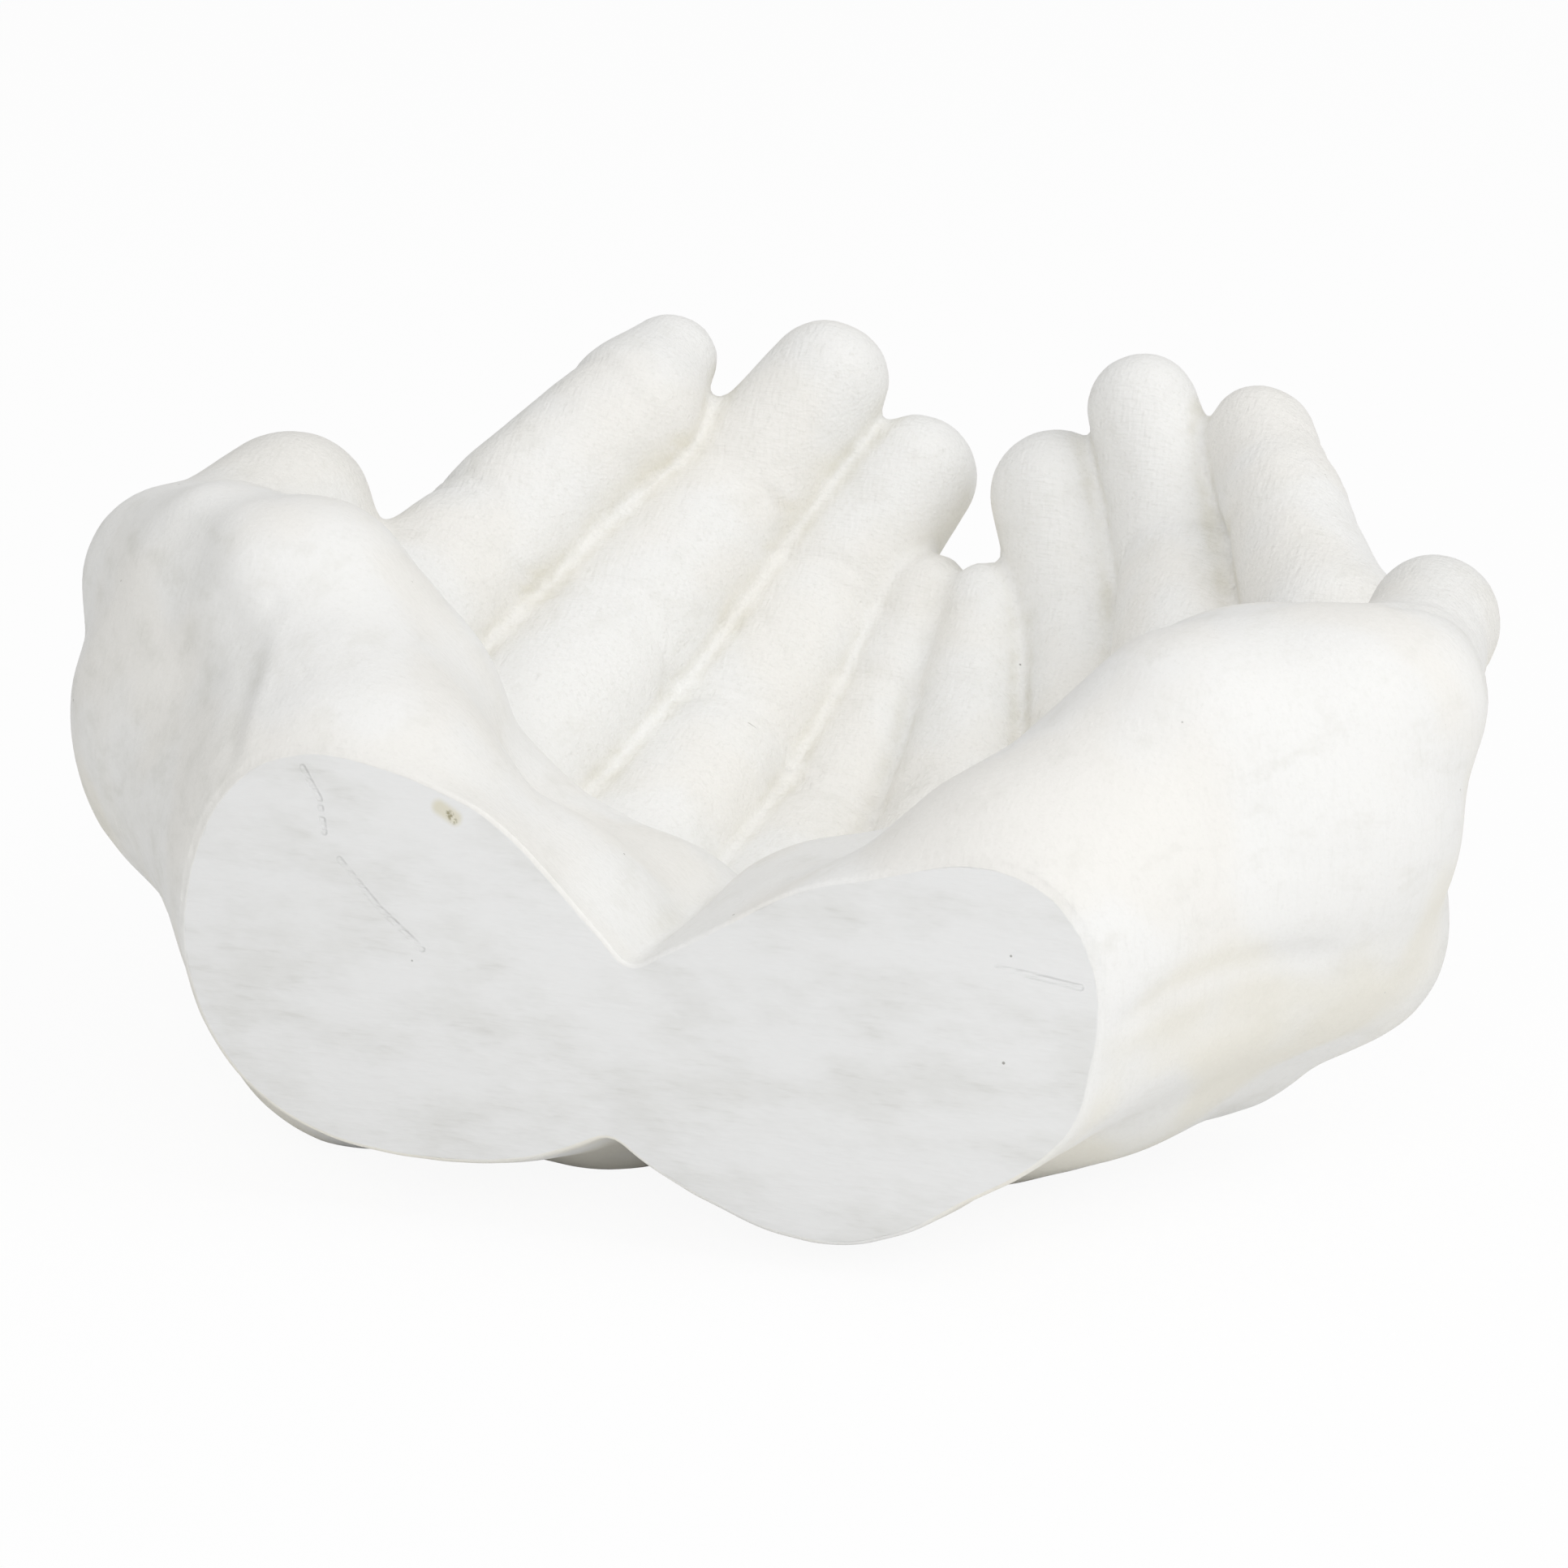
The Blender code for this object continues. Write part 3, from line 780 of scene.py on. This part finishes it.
# Pinholes: a small round spot in about one in three cells, each cell some seven millimetres across
PINHOLE_CELLS = 0.135
cells = add_node("TexVoronoi", feature="F1")
feed(cells.inputs["Vector"], place)
cells.inputs["Scale"].default_value = PINHOLE_CELLS
chosen = add_node("SeparateXYZ")
feed(chosen.inputs[0], cells.outputs["Color"])
pin = both(rise(cells.outputs["Distance"], 0.036, 0.018), rise(chosen.outputs["X"], 0.66, 0.68))
colour = toned(colour, pin, 0.75, PINHOLE_BROWN)

# A hair-like mark by the left ring finger, and a stain with a dark spot on the left wrist
HAIR = (((-20.0, 97.5, 44.8), (-16.5, 99.0, 42.5), (-16.2, 101.0, 40.0)),)
HAIR_WIDTH = 0.16
STAIN = (((-26.3, 0.0, 59.6), (-24.2, 0.0, 58.4)),)
STAIN_WIDTH = 1.5
SPOT = (((-24.9, 0.0, 58.9), (-24.3, 0.0, 58.0)),)
SPOT_WIDTH = 0.7
colour = toned(colour, near_paths(place, HAIR, HAIR_WIDTH), 0.5, HAIR_GREY)
colour = toned(colour, near_paths(place, STAIN, STAIN_WIDTH), 0.6, STAIN_OLIVE)
colour = toned(colour, near_paths(place, SPOT, SPOT_WIDTH), rise(grain, 0.40, 0.60), SPOT_BROWN)
feed(shader.inputs["Base Color"], colour)

# Relief finer than the mesh, in millimetres: skin lines, strokes, smears and scratches
RIPPLE_HEIGHT = 0.16
CROSSING_HEIGHT = 0.13
STROKE_HEIGHT = 0.09
SMEAR_HEIGHT = 0.55
FINE_SMEAR_HEIGHT = 0.10
SCRATCHES = (
    ((-45.5, 0.0, 63.0), (-43.2, 0.0, 59.0), (-42.6, 0.0, 54.5)),
    ((-40.5, 0.0, 51.0), (-35.0, 0.0, 45.0), (-29.0, 0.0, 40.0)),
    ((50.0, 0.0, 46.5), (61.0, 0.0, 45.0)),
)
SCRATCH_WIDTH = 0.55
SCRATCH_DEPTH = 0.20
ripples = noise(stretched(place, (0.28, 2.0, 2.0), (25.0, 0.0, 0.0)), 1.0, 1.0, 0.5)
crossing = noise(stretched(place, (1.8, 0.4, 0.4), (0.0, 25.0, 30.0)), 1.0, 1.0, 0.5)
skin_lines = math_of("ADD", weighed(ripples, RIPPLE_HEIGHT), weighed(crossing, CROSSING_HEIGHT))
skin_height = both(skin_lines, more_where(on_fingers, 0.35, 0.65))
skin_height = math_of("ADD", skin_height, weighed(strokes, STROKE_HEIGHT))
cut_height = math_of("ADD", weighed(smear, SMEAR_HEIGHT), weighed(fine_smear, FINE_SMEAR_HEIGHT))
scratch = both(near_paths(place, SCRATCHES, SCRATCH_WIDTH), rise(fine_smear, 0.30, 0.60))
cut_height = math_of("SUBTRACT", cut_height, both(scratch, SCRATCH_DEPTH))
height_mm = math_of("ADD", both(skin_height, on_skin), both(cut_height, facing_cut))
bump = add_node("Bump")
bump.inputs["Strength"].default_value = 1.0
bump.inputs["Distance"].default_value = MM
feed(bump.inputs["Height"], height_mm)
feed(shader.inputs["Normal"], bump.outputs["Normal"])
shader.inputs["Roughness"].default_value = PLASTER_ROUGHNESS
casting_mesh.materials.append(plaster)
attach(casting, "root")
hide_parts("cupped_hands")

# Floor: a plain pale sheet under the bowl, large enough that its far edge never shows. The camera sees
# it as nearly plain white, with a trace of the bowl's shadow; all other rays meet the lit sheet.
FLOOR_SIZE = 6.0
FLOOR_COLOUR = (0.92, 0.92, 0.92, 1.0)
FLOOR_ROUGHNESS = 0.9
FLOOR_WHITE = 0.92
WHITE = (1.0, 1.0, 1.0, 1.0)


def white_to_camera(tree, lit, output, share_of_white, kind="ShaderNodeEmission"):
    """Mixes plain white into what the camera sees; other rays meet the lit surface."""
    path = tree.nodes.new("ShaderNodeLightPath")
    white = tree.nodes.new(kind)
    white.inputs["Color"].default_value = WHITE
    choice = tree.nodes.new("ShaderNodeMixShader")
    share = tree.nodes.new("ShaderNodeMath")
    share.operation = "MULTIPLY"
    share.inputs[1].default_value = share_of_white
    tree.links.new(path.outputs["Is Camera Ray"], share.inputs[0])
    tree.links.new(share.outputs["Value"], choice.inputs["Fac"])
    tree.links.new(lit.outputs[0], choice.inputs[1])
    tree.links.new(white.outputs[0], choice.inputs[2])
    tree.links.new(choice.outputs[0], output.inputs["Surface"])


bm = bmesh.new()
bmesh.ops.create_grid(bm, x_segments=1, y_segments=1, size=FLOOR_SIZE / 2)
floor_mesh = bpy.data.meshes.new("floor")
bm.to_mesh(floor_mesh)
bm.free()
floor = bpy.data.objects.new("floor", floor_mesh)
bpy.context.scene.collection.objects.link(floor)
paper = bpy.data.materials.new("pale_paper")
paper.use_nodes = True
paper_nodes = paper.node_tree.nodes
paper_shader = paper_nodes["Principled BSDF"]
paper_shader.inputs["Base Color"].default_value = FLOOR_COLOUR
paper_shader.inputs["Roughness"].default_value = FLOOR_ROUGHNESS
white_to_camera(paper.node_tree, paper_shader, paper_nodes["Material Output"], FLOOR_WHITE)
floor_mesh.materials.append(paper)

# Light: a large soft lamp high on the right, one in front and one above, and an even pale sky for the
# rest. The camera sees the sky as plain white. Lamps stand at places in metres, with power in watts.
SKY_STRENGTH = 0.57
LAMP_AIM = Vector((0.0, 0.0, 0.04))
world = bpy.data.worlds.new("studio")
bpy.context.scene.world = world
world.use_nodes = True
world_nodes = world.node_tree.nodes
sky = world_nodes["Background"]
sky.inputs["Color"].default_value = WHITE
sky.inputs["Strength"].default_value = SKY_STRENGTH
white_to_camera(world.node_tree, sky, world_nodes["World Output"], 1.0, "ShaderNodeBackground")


def soft_lamp(name, place, size, power):
    """A square soft box at a place, turned to the bowl."""
    lamp = bpy.data.lights.new(name, "AREA")
    lamp.shape = "SQUARE"
    lamp.size = size
    lamp.energy = power
    box = bpy.data.objects.new(name, lamp)
    bpy.context.scene.collection.objects.link(box)
    box.location = place
    box.rotation_euler = (LAMP_AIM - Vector(place)).to_track_quat("-Z", "Y").to_euler()


soft_lamp("key", place=(1.3, 0.0, 1.2), size=1.2, power=8.8)
soft_lamp("front_fill", place=(0.4, -1.6, 0.9), size=1.2, power=8.6)
soft_lamp("top_fill", place=(0.0, 0.1, 1.8), size=1.4, power=3.0)

# Camera: it stands to the right in front of the wrists and looks down a little, far enough away to
# flatten the view, as in the photograph. Its turn, drop and distance were fitted with the joints.
VIEW_TURN = math.radians(20.12)
VIEW_DROP = math.radians(17.52)
VIEW_DISTANCE = 1.016
VIEW_AIM = Vector((0.0, 0.060, 0.035)) + shift
VIEW_RISE = 0.0129
VIEW_SIDE = -0.0008
SENSOR_WIDTH = 36.0
LENS = 171.1
NEAREST = 0.01
FARTHEST = 20.0
camera_data = bpy.data.cameras.new("camera")
camera_data.sensor_width = SENSOR_WIDTH
camera_data.lens = LENS
camera = bpy.data.objects.new("camera", camera_data)
bpy.context.scene.collection.objects.link(camera)
level_out = math.cos(VIEW_DROP)
back = Vector((math.sin(VIEW_TURN) * level_out, -math.cos(VIEW_TURN) * level_out, math.sin(VIEW_DROP)))
right = Vector((math.cos(VIEW_TURN), math.sin(VIEW_TURN), 0.0))
up = back.cross(right)
camera.location = VIEW_AIM + back * VIEW_DISTANCE
look = VIEW_AIM + up * VIEW_RISE + right * VIEW_SIDE - camera.location
camera.rotation_euler = look.to_track_quat("-Z", "Y").to_euler()
camera_data.clip_start = NEAREST
camera_data.clip_end = FARTHEST
bpy.context.scene.camera = camera
bpy.context.scene.view_settings.view_transform = "Standard"
